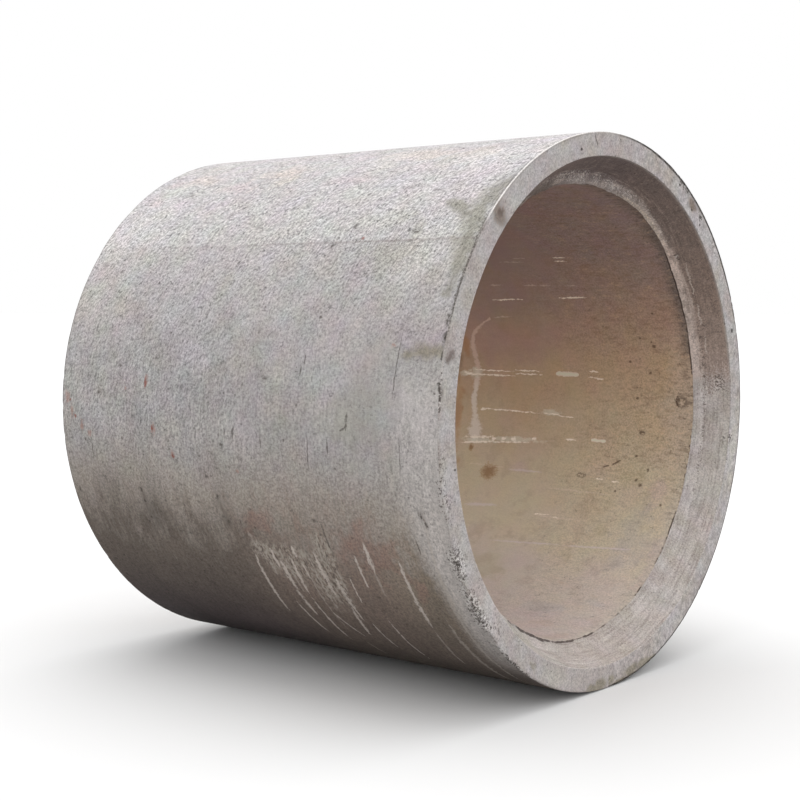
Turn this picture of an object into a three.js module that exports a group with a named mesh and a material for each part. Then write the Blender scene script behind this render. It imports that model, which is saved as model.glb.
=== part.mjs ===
// Concrete sewer pipe, nominal bore 1800, one cast piece with a rebated joint inside its own wall.
// It lies on a level floor: +X runs along the pipe to its socket end, +Z is up, and the origin is
// on the floor below the middle of its overall length. All sizes are in millimetres.
import * as THREE from "three";

// Driving dimensions
const BORE = 1800;
const WALL = BORE / 10;
const LAID_LENGTH = 2000; // socket end face to tongue shoulder, which is what one pipe adds to a line

const SOCKET_MOUTH_RADIUS = 986;
const SOCKET_SEAT_RADIUS = 938; // inner end of the socket's tapered wall
const SOCKET_WALL_DEPTH = 103;
const SOCKET_DEPTH = 136; // where the sloped seat meets the bore

const TONGUE_ROOT_RADIUS = 975;
const TONGUE_SEAT_RADIUS = 931; // outer end of the tongue's tapered side
const TONGUE_TIP_RADIUS = 912;
const TONGUE_SIDE_LENGTH = 105;
const TONGUE_LENGTH = 122;

const ARRIS = 6; // worn corner between the barrel and each end
const MOUTH_ARRIS = 4; // worn corner round the socket's mouth and the tongue's tip
const FLATS_AROUND = 120;

// Worked out from them
const BORE_RADIUS = BORE / 2;
const BARREL_RADIUS = BORE_RADIUS + WALL;
const OVERALL_LENGTH = LAID_LENGTH + TONGUE_LENGTH;
const SOCKET_FACE = OVERALL_LENGTH / 2;
const TONGUE_SHOULDER = SOCKET_FACE - LAID_LENGTH;
const TONGUE_END = -OVERALL_LENGTH / 2;
const HALF_FLAT = Math.PI / FLATS_AROUND;

// The flats lie at the true radius, and the corners between them just outside it.
const toCorner = (radius) => radius / Math.cos(HALF_FLAT);

// The wall's section: [radius, place along the pipe], taken round with the concrete on its left.
function wallSection() {
  const tongue = [
    [BORE_RADIUS, TONGUE_END + MOUTH_ARRIS],
    [BORE_RADIUS + MOUTH_ARRIS, TONGUE_END],
    [TONGUE_TIP_RADIUS, TONGUE_END],
    [TONGUE_SEAT_RADIUS, TONGUE_SHOULDER - TONGUE_SIDE_LENGTH],
    [TONGUE_ROOT_RADIUS, TONGUE_SHOULDER],
    [BARREL_RADIUS - ARRIS, TONGUE_SHOULDER],
    [BARREL_RADIUS, TONGUE_SHOULDER + ARRIS],
  ];
  const socket = [
    [BARREL_RADIUS, SOCKET_FACE - ARRIS],
    [BARREL_RADIUS - ARRIS, SOCKET_FACE],
    [SOCKET_MOUTH_RADIUS + MOUTH_ARRIS, SOCKET_FACE],
    [SOCKET_MOUTH_RADIUS, SOCKET_FACE - MOUTH_ARRIS],
    [SOCKET_SEAT_RADIUS, SOCKET_FACE - SOCKET_WALL_DEPTH],
    [BORE_RADIUS, SOCKET_FACE - SOCKET_DEPTH],
  ];
  return [...tongue, ...socket].map(([radius, along]) => new THREE.Vector2(toCorner(radius), along));
}

// A section turned all the way round. Starting half a flat on puts the middle of a flat on the floor.
function turnedRing(section) {
  const closed = [...section, section[0]];
  return new THREE.LatheGeometry(closed, FLATS_AROUND, HALF_FLAT, 2 * Math.PI);
}

const concrete = new THREE.MeshStandardMaterial({
  color: "#b0a9a2",
  roughness: 0.92,
  metalness: 0,
});

const pipe = new THREE.Mesh(turnedRing(wallSection()), concrete);
pipe.name = "pipe";
pipe.rotation.z = -Math.PI / 2; // the turning axis goes from +Y to +X
pipe.position.z = BARREL_RADIUS;

const part = new THREE.Group();
part.add(pipe);

export default part;
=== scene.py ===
import math
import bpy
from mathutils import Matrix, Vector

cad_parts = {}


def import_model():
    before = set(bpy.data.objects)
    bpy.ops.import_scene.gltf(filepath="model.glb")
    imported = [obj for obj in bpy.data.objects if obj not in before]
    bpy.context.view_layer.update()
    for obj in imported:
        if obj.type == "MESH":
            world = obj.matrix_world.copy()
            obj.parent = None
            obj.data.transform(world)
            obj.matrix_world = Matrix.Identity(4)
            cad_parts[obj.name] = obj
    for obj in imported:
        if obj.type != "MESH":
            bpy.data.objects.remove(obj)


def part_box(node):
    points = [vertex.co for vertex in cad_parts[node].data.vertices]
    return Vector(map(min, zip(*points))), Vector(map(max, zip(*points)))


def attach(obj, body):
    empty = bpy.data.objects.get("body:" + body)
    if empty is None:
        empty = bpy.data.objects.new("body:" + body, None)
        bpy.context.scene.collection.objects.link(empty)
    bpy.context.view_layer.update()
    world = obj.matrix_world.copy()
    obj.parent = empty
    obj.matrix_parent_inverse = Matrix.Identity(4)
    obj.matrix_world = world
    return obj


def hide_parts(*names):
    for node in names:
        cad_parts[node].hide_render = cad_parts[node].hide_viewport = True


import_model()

from types import SimpleNamespace

import bpy
import numpy as np
from mathutils import Matrix, Vector

# ---------------------------------------------------------------------------------------------
# Sizes, in metres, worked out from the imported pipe. It lies along X, with its socket at +X.
# A place on a wall is given by two numbers: how far it is behind the socket face, in metres, and
# its angle in degrees from the top towards -Y.

cad_low, cad_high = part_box("pipe")
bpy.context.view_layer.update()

SOCKET_FACE = cad_high[0]
TONGUE_END = cad_low[0]
BARREL = (cad_high[2] - cad_low[2]) / 2  # outer radius
AXIS_HEIGHT = (cad_high[2] + cad_low[2]) / 2
BORE = BARREL / 1.2  # the wall is a tenth of the bore's diameter
LAID_LENGTH = 2.0
TONGUE_SHOULDER = SOCKET_FACE - LAID_LENGTH

SOCKET_MOUTH = 0.986
SOCKET_SEAT = 0.938
SOCKET_WALL_DEPTH = 0.103
SOCKET_DEPTH = 0.136
TONGUE_ROOT = 0.975
TONGUE_SEAT = 0.931
TONGUE_TIP = 0.912
TONGUE_SIDE = 0.105

RIM_ROUND = 0.006  # worn corner between the barrel and each end
MOUTH_ROUND = 0.004
FACE_MIDDLE = 1.03  # radii at which the marks on the end face and in the socket are measured
SOCKET_MIDDLE = 0.95
MOULD_JOINTS = (53, -127)  # where the two halves of the outer mould met, in degrees
SEED = 7


# ---------------------------------------------------------------------------------------------
# Random relief


def hashed(cells, seed):
    """A fixed random number from -1 to 1 for each whole-numbered cell."""
    mixed = (cells[:, 0] * 73856093) ^ (cells[:, 1] * 19349663) ^ (cells[:, 2] * 83492791)
    mixed = ((mixed ^ (seed * 7919)) * 1274126177) & 0x7FFFFFFF
    mixed = ((mixed ^ (mixed >> 15)) * 668265263) & 0x7FFFFFFF
    return ((mixed >> 7) & 0xFFFF) / 32767.5 - 1


def lumps(points, size, seed, octaves=1):
    """Smooth random heights from about -1 to 1, with lumps of that size and finer ones on them."""
    total, weight = np.zeros(len(points)), 1.0
    for octave in range(octaves):
        scaled = points * (2**octave / size) + 17.3 * octave
        base = np.floor(scaled).astype(np.int64)
        part = scaled - base
        part = part * part * (3 - 2 * part)
        for corner in range(8):
            step = np.array([corner & 1, corner >> 1 & 1, corner >> 2 & 1])
            share = np.prod(np.where(step, part, 1 - part), axis=1)
            total += weight * share * hashed(base + step, seed + octave)
        weight /= 2
    return total


def rise(value, low, high):
    """0 up to low, 1 from high on, and smooth between. It falls where low is the larger."""
    part = np.clip((value - low) / (high - low), 0, 1)
    return part * part * (3 - 2 * part)


def within(value, start, full, waning, end):
    """1 from full to waning, and 0 before the start and after the end."""
    return rise(value, start, full) * rise(value, end, waning)


# ---------------------------------------------------------------------------------------------
# The wall's section, as rings round the pipe


def graded(length, first, last, widest):
    """Fractions of a length whose steps are fine at its ends and widen towards its middle."""
    ahead, back = [0.0], [length]
    while back[-1] - ahead[-1] > 1.6 * min(first, last):
        if first <= last:
            ahead.append(ahead[-1] + first)
            first = min(first * 1.22, widest)
        else:
            back.append(back[-1] - last)
            last = min(last * 1.22, widest)
    return np.array(ahead + back[::-1]) / length


def straight(start, end, first, last=None, widest=0.05):
    """Section points (along X, radius) on a line."""
    start, end = np.array(start), np.array(end)
    fractions = graded(np.linalg.norm(end - start), first, last or first, widest)
    return [tuple(start + (end - start) * fraction) for fraction in fractions]


def arc(centre, radius, from_degrees, to_degrees, steps):
    """Section points on an arc about a centre, at angles from +X towards larger radius."""
    turns = np.radians(np.linspace(from_degrees, to_degrees, steps + 1))
    return [(centre[0] + radius * math.cos(t), centre[1] + radius * math.sin(t)) for t in turns]


def wall_section():
    """Stretches of the section, from the tongue's tip round: (finish, sides, points)."""
    shoulder, face, rim, mouth = TONGUE_SHOULDER, SOCKET_FACE, RIM_ROUND, MOUTH_ROUND
    seat, lip = (face - SOCKET_WALL_DEPTH, SOCKET_SEAT), (face - SOCKET_DEPTH, BORE)
    near_lip = (0.75 * lip[0] + 0.25 * seat[0], 0.75 * BORE + 0.25 * SOCKET_SEAT)
    tip, tip_side = (TONGUE_END + mouth, BORE + mouth), (shoulder - TONGUE_SIDE, TONGUE_SEAT)
    near_rim, mouth_edge = BARREL - 0.022, SOCKET_MOUTH + mouth
    finer, finest, inside = (face - 0.05, BARREL), (face - 0.026, BARREL), (lip[0] - 0.045, BORE)
    return [
        ("tongue", 384, arc(tip, mouth, 270, 180, 2)),
        ("tongue", 384, [(TONGUE_END, BORE + mouth), (TONGUE_END, TONGUE_TIP)]),
        ("tongue", 384, straight((TONGUE_END, TONGUE_TIP), tip_side, 0.012)),
        ("tongue", 384, straight(tip_side, (shoulder, TONGUE_ROOT), 0.012, 0.012, 0.02)),
        ("tongue", 384, straight((shoulder, TONGUE_ROOT), (shoulder, BARREL - rim), 0.012, 0.006)),
        ("barrel", 384, arc((shoulder + rim, BARREL - rim), rim, 180, 90, 3)),
        ("barrel", 384, straight((shoulder + rim, BARREL), finer, 0.006, 0.007, 0.08)),
        ("barrel", 768, straight(finer, finest, 0.006, 0.005)),
        ("barrel", 1536, straight(finest, (face - rim, BARREL), 0.006, 0.005)),
        ("end face", 1536, arc((face - rim, BARREL - rim), rim, 90, 0, 4)),
        ("end face", 1536, straight((face, BARREL - rim), (face, near_rim), 0.004)),
        ("end face", 768, straight((face, near_rim), (face, mouth_edge), 0.006, 0.005, 0.008)),
        ("end face", 768, arc((face - mouth, mouth_edge), mouth, 360, 270, 3)),
        ("socket", 768, straight((face - mouth, SOCKET_MOUTH), seat, 0.006, 0.006, 0.009)),
        ("socket", 768, straight(seat, near_lip, 0.006, 0.005)),
        ("socket", 1536, straight(near_lip, lip, 0.004, 0.0035)),
        ("bore", 1536, [(lip[0] - depth, BORE) for depth in (0, 0.003, 0.006, 0.01)]),
        ("bore", 768, straight((lip[0] - 0.01, BORE), inside, 0.006, 0.008)),
        ("bore", 384, straight(inside, (TONGUE_END + mouth, BORE), 0.009, 0.009, 0.09)),
    ]


def rings_of(stretches):
    """The rings of the closed section, each with the band of faces that follows it."""
    rings = []
    for finish, sides, points in stretches:
        for along, radius in points[:-1]:
            rings.append(SimpleNamespace(along=along, radius=radius, sides=sides, finish=finish))
    for ring, before, after in zip(rings, rings[-1:] + rings[:-1], rings[1:] + rings[:1]):
        along = np.array([after.along - ring.along, ring.along - before.along])
        out = np.array([after.radius - ring.radius, ring.radius - before.radius])
        lengths = np.hypot(along, out)
        normal = np.array([-np.sum(out / lengths), np.sum(along / lengths)])
        ring.normal = normal / np.linalg.norm(normal)
        # A ring takes the finer of the two bands that it joins
        ring.sides_here = max(ring.sides, before.sides)
    return rings


# ---------------------------------------------------------------------------------------------
# The wall's points and their relief


def around(angle, radius):
    """Y and Z of a point at an angle from the top towards -Y, in radians."""
    return -radius * np.sin(angle), AXIS_HEIGHT + radius * np.cos(angle)


def bare_wall(rings):
    """Every ring's points, with their outward normals, places on the wall and finishes."""
    parts, first = [], 0
    for ring in rings:
        angle = np.arange(ring.sides_here) * 2 * np.pi / ring.sides_here
        y, z = around(angle, ring.radius)
        out_y, out_z = around(angle, ring.normal[1])
        same = np.ones_like(angle)
        places = np.stack([ring.along * same, y, z], axis=1)
        normals = np.stack([ring.normal[0] * same, out_y, out_z - AXIS_HEIGHT], axis=1)
        degrees = (np.degrees(angle) + 180) % 360 - 180
        finish = np.full(len(angle), ring.finish)
        parts.append((places, normals, degrees, ring.radius * same, finish))
        ring.first = first
        first += ring.sides_here
    names = ("places", "normals", "degrees", "radius", "finish")
    columns = [np.concatenate(column) for column in zip(*parts)]
    wall = SimpleNamespace(**dict(zip(names, columns)))
    wall.behind = SOCKET_FACE - wall.places[:, 0]
    wall.broken = np.zeros(first)  # 1 where the concrete is broken open
    wall.crevice = np.zeros(first)  # 1 at the bottom of the crack round the bore's lip
    return wall


# How deep the relief is, in metres
WAVES, BUMPS, RIDGES, JOINT_STEP, CRACK = 0.0008, 0.0004, 0.0005, 0.0016, 0.0048


def press_in(wall, depth):
    """Moves points into the concrete. No depth is below 0, so nothing stands proud of the wall."""
    wall.places -= wall.normals * np.clip(depth, 0, None)[:, None]


def uneven_surface(wall):
    """The slow waves of the mould, the bumps of the trowel and a step at each mould joint."""
    waves = WAVES * (1 + lumps(wall.places, 0.34, SEED, 2))
    bumps = BUMPS * (1 + lumps(wall.places, 0.045, SEED + 5, 3))
    on_barrel = wall.finish == "barrel"
    degrees = wall.degrees
    steps = sum(within(degrees, at, at + 0.9, at + 1, at + 16) for at in MOULD_JOINTS)
    turned = np.stack([wall.behind * 90, degrees * 0.02, degrees * 0], axis=1)
    ridges = RIDGES * (1 + lumps(turned, 1.0, SEED + 8, 2)) * (wall.finish == "socket")
    press_in(wall, waves + bumps + on_barrel * JOINT_STEP * steps + ridges)


# Where the bore's lip has crumbled and cracked: (from, to, crumbled, cracked), in degrees
CRUMBLED_LIP = [
    (-181, -174, 1, 0.8), (-174, -164, 1, 0.5), (-164, -152, 0.9, 0.3), (-150, -125, 0.8, 0.24),
    (-125, -52, 0.9, 0.22), (-52, -20, 0.8, 0.25), (-20, 147, 0.35, 0.1), (147, 181, 0.9, 0.9),
]


def push_out(wall, depth):
    """Moves points straight away from the axis, into the concrete of the socket and the bore."""
    wall.places[:, 1] *= 1 + depth / wall.radius
    wall.places[:, 2] += (wall.places[:, 2] - AXIS_HEIGHT) * depth / wall.radius


def crumbled_lip(wall):
    """Sets the lip of the bore back by an uneven amount and opens a crack just behind it."""
    lip, degrees = SOCKET_DEPTH, wall.degrees
    circle = np.stack(around(np.radians(degrees), BORE) + (0 * degrees,), axis=1)
    share = cracked = 0
    for start, end, crumbled_here, cracked_here in CRUMBLED_LIP:
        here = within(degrees, start - 3, start + 3, end - 3, end + 3)
        share, cracked = share + crumbled_here * here, cracked + cracked_here * here
    slow, quick = lumps(circle, 0.11, SEED + 20, 2), lumps(circle, 0.018, SEED + 21, 2)
    on_seat = (wall.finish == "socket") & (wall.behind > SOCKET_WALL_DEPTH)
    on_bore = wall.finish == "bore"
    past_lip = wall.behind - lip
    past_lip = np.where(on_bore, past_lip, -np.hypot(past_lip, wall.radius - BORE))
    past_lip = np.where(on_seat | on_bore, past_lip, -1)

    # Mortar built up a little at the crown and low on the near side, and worn beside the crown
    built_up = 0.012 * within(degrees, -26, -8, 30, 62)
    built_up += 0.009 * within(degrees, 134, 150, 156, 172)
    worn = 0.009 * within(degrees, -58, -44, -32, -20)
    near = within(past_lip, -0.055, -0.01, 0.01, 0.16)
    push_out(wall, near * (worn - built_up * (1 + 0.25 * quick)))

    # The crack's far side is a low step that faces the socket
    deep = CRACK * np.clip(0.95 + 0.55 * lumps(circle, 0.03, SEED + 24, 3), 0.42, 1.6) * cracked
    past_crack = past_lip + 0.007 * within(degrees, 110, 130, 162, 180)
    sunk = within(past_crack, -0.014, -0.003, 0.0032, 0.0062)
    worn_edge = 0.0022 * (1 + quick) * within(past_lip, 0.003, 0.006, 0.006, 0.03)
    crumbs = 0.0012 * within(past_lip, -0.02, -0.002, 0.002, 0.016)
    crumbs *= 1 + lumps(wall.places, 0.012, SEED + 23, 2)
    push_out(wall, deep * sunk + share * (worn_edge + crumbs))
    set_back = share * (0.0035 * (1 + slow) + 0.002 * (1 + quick))
    past_seat = rise(wall.behind, SOCKET_WALL_DEPTH, lip)
    wall.places[:, 0] -= set_back * np.where(on_seat, past_seat, rise(past_lip, 0.045, 0) * on_bore)
    # Where painted shade goes: the bottom of the crack, and the bore's side of the lip on the far
    # side
    wall.crevice = rise(deep, 0.0004, 0.0036) * within(past_crack, -0.003, -0.001, 0.0065, 0.01)
    edge = within(degrees, -168, -150, -52, -26) * rise(slow + quick, -0.9, 0.5)
    edge = 0.95 * edge * on_bore * rise(past_lip, 0.0105, 0.004)
    wall.crevice = np.maximum(wall.crevice, edge)


# Corners of the section: (along X, radius, facing), with the facing in degrees from +X outwards
CORNERS = {
    "rim": (SOCKET_FACE, BARREL, 45),
    "mouth": (SOCKET_FACE, SOCKET_MOUTH, -45),
    "shoulder": (TONGUE_SHOULDER, BARREL, 135),
    "tip": (TONGUE_END, TONGUE_TIP, 135),
    "tip inside": (TONGUE_END, BORE, 225),
}
# Chips knocked off them: (corner, from, to, how many, longest, deepest)
CHIPS = [
    ("rim", 66, 90, 5, 0.02, 0.0045), ("rim", 98, 111, 4, 0.02, 0.004),
    ("rim", 112, 120, 14, 0.03, 0.0095), ("rim", 124, 136, 14, 0.03, 0.009),
    ("rim", 136, 150, 8, 0.024, 0.006), ("rim", -52, -24, 12, 0.022, 0.006),
    ("rim", -75, -64, 5, 0.024, 0.008), ("rim", -146, -128, 7, 0.022, 0.007),
    ("rim", -180, 180, 24, 0.014, 0.004), ("mouth", -180, 180, 30, 0.014, 0.004),
    ("shoulder", -180, 180, 60, 0.034, 0.0085), ("tip", -180, 180, 40, 0.034, 0.008),
    ("tip inside", -180, 180, 26, 0.03, 0.007),
]


def knock_off_chips(wall):
    """Hollows out a rough egg-shaped bite for each chip."""
    random = np.random.default_rng(SEED)
    for corner, start, end, count, longest, deepest in CHIPS:
        along, radius, facing = CORNERS[corner]
        facing = math.radians(facing)
        for _ in range(count):
            turn = math.radians(random.uniform(start, end))
            length, stretch = longest * random.uniform(0.4, 1), random.uniform(1, 2.4)
            depth = deepest * random.uniform(0.55, 1)
            reach = length**2 / (8 * depth) + depth / 2
            y, z = around(turn, radius + (reach - depth) * math.sin(facing))
            centre = np.array([along + (reach - depth) * math.cos(facing), y, z])
            away = np.sum((wall.places - centre) ** 2, axis=1)
            near = np.flatnonzero(away < (stretch * reach + 0.004) ** 2)
            offset = wall.places[near] - centre
            round_by = np.array([0, -math.cos(turn), -math.sin(turn)])
            sideways = (offset @ round_by)[:, None] * round_by
            distance = np.linalg.norm(offset - sideways + sideways / stretch, axis=1)
            rough = reach + 0.0011 * lumps(wall.places[near], 0.008, SEED + 30, 2)
            push = np.clip(rough - distance, 0, depth)
            inward = offset - sideways
            inward /= np.linalg.norm(inward, axis=1)[:, None]
            wall.places[near] += inward * push[:, None]
            wall.broken[near] = np.maximum(wall.broken[near], rise(push, 0.0004, 0.003))


# ---------------------------------------------------------------------------------------------
# The mesh


def band_faces(ring, after):
    """Faces from one ring to the next. Where one has twice the points, three triangles a step."""
    few, many = sorted((ring, after), key=lambda one: one.sides_here)
    steps = np.arange(few.sides_here)
    ahead = (steps + 1) % few.sides_here
    low, low_next = few.first + steps, few.first + ahead
    if few.sides_here == many.sides_here:
        faces = [np.stack([low, low_next, many.first + ahead, many.first + steps], axis=1)]
    else:
        start, end = many.first + 2 * steps, many.first + 2 * ahead
        middle = start + 1
        faces = [
            np.stack([low, middle, start], axis=1),
            np.stack([low, low_next, middle], axis=1),
            np.stack([low_next, end, middle], axis=1),
        ]
    rows = [row for group in faces for row in group.tolist()]
    return rows if few is ring else [row[::-1] for row in rows]


def pipe_mesh(finishes):
    """One closed mesh of the whole casting, with a material slot for each finish's sector."""
    rings = rings_of(wall_section())
    wall = bare_wall(rings)
    uneven_surface(wall)
    crumbled_lip(wall)
    knock_off_chips(wall)
    faces, slots = [], []
    for ring, after in zip(rings, rings[1:] + rings[:1]):
        band = band_faces(ring, after)
        faces += band
        choices = [slot for slot, finish in enumerate(finishes) if finish.part == ring.finish]
        starts = [finishes[slot].sector[0] for slot in choices]
        degrees = wall.degrees[[face[0] for face in band]]
        slots += [choices[place - 1] for place in np.searchsorted(starts, degrees, side="right")]
    mesh = bpy.data.meshes.new("concrete_pipe")
    mesh.from_pydata(wall.places.tolist(), [], faces)
    for name in ("broken", "crevice"):
        mesh.attributes.new(name, "FLOAT", "POINT").data.foreach_set("value", getattr(wall, name))
    for finish in finishes:
        mesh.materials.append(finish.material)
    mesh.polygons.foreach_set("material_index", slots)
    mesh.shade_smooth()
    return mesh


# ---------------------------------------------------------------------------------------------
# Shader maths

REACH = 3  # how far a mark's uneven border can show, in half widths from its line or middle
WORN_ENDS = 0.2  # and past the ends of a stroke, as a share of its length
SWAY = 0.02  # the most that a bent map moves a mark, in metres
FACE_STEP = 2  # more than the degrees that one face of the mesh takes up


def shade(red, green, blue):
    """A colour given on the usual 0 to 255 scale, in the linear values that a shader takes."""
    parts = [part / 255 for part in (red, green, blue)]
    linear = [part / 12.92 if part < 0.04 else ((part + 0.055) / 1.055) ** 2.4 for part in parts]
    return (*linear, 1)


class Value:
    """A number that varies over a surface. An expression on such numbers adds its Math nodes."""

    def __init__(self, finish, socket):
        self.finish, self.socket = finish, socket

    def output(self, name):
        return Value(self.finish, self.socket.node.outputs[name])

    def math(self, operation, *terms):
        return self.finish.node("ShaderNodeMath", {"operation": operation}, dict(enumerate(terms)))

    def __add__(self, other):
        return self.math("ADD", self, other)

    def __sub__(self, other):
        return self.math("SUBTRACT", self, other)

    def __rsub__(self, other):
        return self.math("SUBTRACT", other, self)

    def __mul__(self, other):
        return self.math("MULTIPLY", self, other)

    def __truediv__(self, other):
        return self.math("DIVIDE", self, other)

    def __pow__(self, power):
        return self.math("POWER", self, power)

    def __neg__(self):
        return self.math("MULTIPLY", self, -1)

    def __abs__(self):
        return self.math("ABSOLUTE", self)

    __radd__ = __add__
    __rmul__ = __mul__

    def larger(self, other):
        return self.math("MAXIMUM", self, other)

    def smaller(self, other):
        return self.math("MINIMUM", self, other)

    def rise(self, low, high, bottom=0, top=1):
        """The bottom up to low and the top from high on. It falls where low is the larger."""
        sockets = {
            "From Min": low,
            "From Max": high,
            "To Min": bottom,
            "To Max": top,
            "Value": self,
        }
        return self.finish.node("ShaderNodeMapRange", {"interpolation_type": "SMOOTHSTEP"}, sockets)

    def swing(self, low, high):
        """A rise from half below 0 to half above it."""
        return self.rise(low, high, -0.5, 0.5)

    def within(self, start, full, waning, end):
        """1 from full to waning, and 0 before the start and after the end."""
        return self.rise(start, full) * self.rise(end, waning)


class Finish:
    """A finish of the concrete over a sector of the pipe: its shader, its map and its patterns.

    The sector keeps the shader small, since only the marks that can show in it are added.
    """

    def __init__(self, part, name, radius, sector=(-180, 180)):
        self.part, self.sector = part, sector
        self.material = bpy.data.materials.new(name)
        self.material.use_nodes = True
        tree = self.material.node_tree
        self.nodes, self.links = tree.nodes, tree.links
        self.shader = self.nodes["Principled BSDF"]
        self.shader.inputs["Specular IOR Level"].default_value = 0.3
        self.place = self.node("ShaderNodeTexCoord", output="Object")
        x = self.node("ShaderNodeSeparateXYZ", sockets={0: self.place})
        y, z = x.output("Y"), x.output("Z") - AXIS_HEIGHT
        self.radius = (y * y + z * z) ** 0.5
        self.behind = SOCKET_FACE - x
        self.angle = x.math("ARCTAN2", -y, z) * (180 / math.pi)
        self.side = abs(self.angle)
        self.metres_a_degree = math.pi / 180 * radius
        self.chart = self.charted(self.radius if part == "end face" else self.behind)

    def node(self, kind, settings=None, sockets=None, output=0):
        """Adds a node: its settings first, then the values or links of its sockets."""
        node = self.nodes.new(kind)
        for name, setting in (settings or {}).items():
            if name == "stops":
                self.set_stops(node.color_ramp, setting)
            else:
                setattr(node, name, setting)
        for name, value in (sockets or {}).items():
            if isinstance(value, Value):
                self.links.new(value.socket, node.inputs[name])
            else:
                node.inputs[name].default_value = value
        return Value(self, node.outputs[output])

    def set_stops(self, ramp, stops):
        ramp.interpolation = "EASE"
        while len(ramp.elements) < len(stops):
            ramp.elements.new(0.5)
        for element, (position, colour) in zip(ramp.elements, stops):
            element.position, element.color = position, colour

    def vector(self, operation, first, second, third=(0, 0, 0), output="Vector"):
        sockets = {0: first, 1: second, 2: third}
        return self.node("ShaderNodeVectorMath", {"operation": operation}, sockets, output)

    # Colours

    def mix(self, factor, first, second, blend="MIX"):
        """One colour laid over another. A plain colour is given on the 0 to 255 scale."""
        first, second = (one if isinstance(one, Value) else shade(*one) for one in (first, second))
        settings = {"data_type": "RGBA", "blend_type": blend}
        return self.node("ShaderNodeMix", settings, {0: factor, 6: first, 7: second}, 2)

    def paint(self, amount, colour):
        """Lays a colour over the finish so far."""
        self.colour = self.mix(amount, self.colour, colour)

    def tint(self, amount, size, detail=2):
        """Adds faint clouds of other tints."""
        clouds = self.noise(size, detail, output="Color")
        self.colour = self.mix(amount, self.colour, clouds, "LINEAR_LIGHT")

    def tone(self, tone):
        """Makes the finish so far lighter or darker."""
        scaled = {0: self.colour, "Scale": tone}
        self.colour = self.node("ShaderNodeVectorMath", {"operation": "SCALE"}, scaled)

    def by_side(self, stops, sway=0):
        """A colour for each angle from the top, the same on both sides of the pipe."""
        stops = [(degrees / 180, shade(*colour)) for degrees, colour in stops]
        return self.node("ShaderNodeValToRGB", {"stops": stops}, {0: (self.side + sway) / 180})

    def pitted(self, share):
        """Dark pits with pale flakes between them, the thicker the larger the share."""
        fine = self.noise(0.0095, 3, roughness=0.75)
        self.paint(share.rise(0.1, 0.5) * fine.rise(0.48, 0.38) * 0.78, (232, 228, 224))
        dark = (fine + share * 0.12).rise(0.56, 0.65) * share.rise(0.02, 0.3)
        self.paint(dark * 0.85, (66, 60, 56))

    # Random patterns

    def charted(self, first):
        """A flat map of the wall in metres. Its third part is 1, so a dot product can shift it."""
        around = self.angle * self.metres_a_degree
        return self.node("ShaderNodeCombineXYZ", sockets={0: first, 1: around, 2: 1})

    def swayed(self, size, amount, detail=2):
        """The flat map with its lines bent at random."""
        bend = self.noise(size, detail, output="Color")
        back = self.vector("SUBTRACT", self.chart, (amount / 2, amount / 2, 0))
        return self.vector("MULTIPLY_ADD", bend, (amount, amount, 0), back)

    def noise(self, size, detail=2, stretch=(1, 1, 1), roughness=0.5, output=0, shift=(0, 0, 0)):
        """Random mottling about 0.5. A stretch makes its lumps longer along X, Y and Z."""
        scale = np.array([1 / (size * part) for part in stretch])
        scaled = self.vector("MULTIPLY_ADD", self.place, (*scale,), (*(scale * shift),))
        sockets = {"Vector": scaled, "Scale": 1, "Detail": detail, "Roughness": roughness}
        return self.node("ShaderNodeTexNoise", sockets=sockets, output=output)

    def attribute(self, name):
        return self.node("ShaderNodeAttribute", {"attribute_name": name}, output="Fac")

    # Marks. A stroke is its two ends, as (behind, angle, behind, angle), and its half width in
    # metres. A patch is its middle, as (behind, angle), and its half length and half height.

    def in_reach(self, angle, angle_end, border):
        """Whether a mark between two angles can show in the sector, with a border that wide."""
        low, high = sorted((angle, angle_end))
        spare = FACE_STEP + WORN_ENDS * (high - low) + (border + SWAY) / self.metres_a_degree
        return low - spare < self.sector[1] and high + spare > self.sector[0]

    def shown(self, mark):
        if len(mark) == 4:
            return self.in_reach(mark[1], mark[1], REACH * mark[3])
        return self.in_reach(mark[1], mark[3], REACH * mark[4])

    def along_and_across(self, stroke, chart):
        """Where a place is on a stroke: -1 to 1 from end to end, and across it in half widths."""
        behind, angle, behind_end, angle_end, half_width = stroke
        start = np.array([behind, angle * self.metres_a_degree])
        end = np.array([behind_end, angle_end * self.metres_a_degree])
        middle, half = (start + end) / 2, (end - start) / 2
        length = np.linalg.norm(half)
        across = np.array([-half[1], half[0]]) / length / half_width
        on, off = (
            self.vector("DOT_PRODUCT", chart, (*line, -line @ middle), output="Value")
            for line in (half / length**2, across)
        )
        return on, abs(off), length / half_width

    def distance(self, mark, chart, blunt=4):
        """How far a place is from the middle of a mark: 1 at its border."""
        if len(mark) == 5:
            on, off, _ = self.along_and_across(mark, chart)
            return on**blunt + off
        behind, angle, half_length, half_height = mark
        scale = np.array([1 / half_length, 1 / half_height])
        shift = -scale * (behind, angle * self.metres_a_degree)
        local = self.vector("MULTIPLY_ADD", chart, (*scale, 0), (*shift, 0))
        return self.vector("LENGTH", local, (0, 0, 0), output="Value")

    def nearest(self, distances):
        """1 in the middle of the closest mark, 0 at its border and less beyond."""
        if not distances:
            return 1 - REACH
        closest = distances[0]
        for distance in distances[1:]:
            closest = closest.smaller(distance)
        return 1 - closest

    def marks(self, marks, chart=None, blunt=4):
        """Strokes with pointed or blunt ends and round patches."""
        chart = chart or self.chart
        distances = [self.distance(mark, chart, blunt) for mark in marks if self.shown(mark)]
        return self.nearest(distances)

    def trail(self, chart, *runs):
        """Runs through some places, as (behind, angle, half width)."""
        distances = []
        steps = [step for run in runs for step in zip(run, run[1:])]
        for (*start, width), (*end, width_end) in steps:
            stroke = (*start, *end, (width + width_end) / 2)
            if self.shown(stroke):
                on, off, slimness = self.along_and_across(stroke, chart)
                distances.append((abs(on) - 1).larger(0) * slimness + off)
        return self.nearest(distances)

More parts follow.
